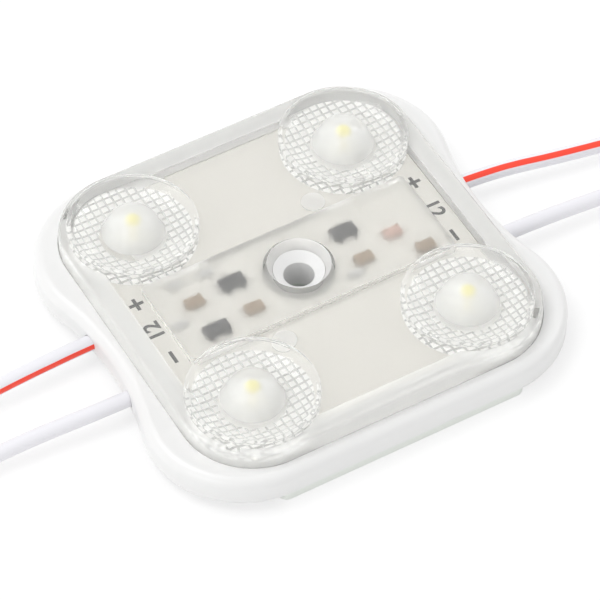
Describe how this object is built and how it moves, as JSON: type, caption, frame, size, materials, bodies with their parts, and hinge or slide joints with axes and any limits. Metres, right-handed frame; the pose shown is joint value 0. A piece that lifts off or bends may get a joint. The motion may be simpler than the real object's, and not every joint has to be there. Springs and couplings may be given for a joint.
{
  "type": "led module",
  "caption": "Square sealed LED module with a clear lens cover, a countersunk screw hole, adhesive tape and wires at both ends.",
  "frame": {"origin": "centre of the underside, on the screw hole's axis at the liner's underside", "axes": "+X along the wires, +Y across them to the side of the striped wires, +Z out of the lenses"},
  "size_m": [0.176, 0.0472, 0.0095],
  "materials": {
    "housing_white": "satin white moulding",
    "clear_cover": "clear polished moulding",
    "board_white": "white solder mask",
    "led_body": "white moulding",
    "phosphor": "yellow phosphor gel",
    "chip_black": "black epoxy",
    "capacitor_brown": "fired brown ceramic",
    "resistor_grey": "grey coated ceramic",
    "diode_body": "moulded body",
    "tinned_copper": "tinned strands",
    "solder": "bright solder",
    "striped_wire": "white insulation with a red stripe",
    "plain_wire": "white insulation",
    "foam_tape": "translucent acrylic foam",
    "liner": "silicone coated paper"
  },
  "bodies": {
    "root": {"adhesive_tape": "foam_tape", "capacitor_1": "capacitor_brown", "capacitor_2": "capacitor_brown", "capacitor_3": "capacitor_brown", "capacitor_4": "capacitor_brown", "circuit_board": "board_white", "core_left_minus": "tinned_copper", "core_left_plus": "tinned_copper", "core_right_minus": "tinned_copper", "core_right_plus": "tinned_copper", "diode_1": "diode_body", "driver_chip_1": "chip_black", "driver_chip_2": "chip_black", "driver_chip_3": "chip_black", "housing": "housing_white", "led_package_left_back": "led_body", "led_package_left_front": "led_body", "led_package_right_back": "led_body", "led_package_right_front": "led_body", "lens_cover": "clear_cover", "phosphor_left_back": "phosphor", "phosphor_left_front": "phosphor", "phosphor_right_back": "phosphor", "phosphor_right_front": "phosphor", "release_liner": "liner", "resistor_1": "resistor_grey", "resistor_2": "resistor_grey", "resistor_3": "resistor_grey", "resistor_4": "resistor_grey", "solder_joint_left_minus": "solder", "solder_joint_left_plus": "solder", "solder_joint_right_minus": "solder", "solder_joint_right_plus": "solder", "wire_left_minus": "plain_wire", "wire_left_plus": "striped_wire", "wire_right_minus": "plain_wire", "wire_right_plus": "striped_wire", "wire_tip_left_minus": "tinned_copper", "wire_tip_left_plus": "tinned_copper", "wire_tip_right_minus": "tinned_copper", "wire_tip_right_plus": "tinned_copper"}
  },
  "joints": []
}
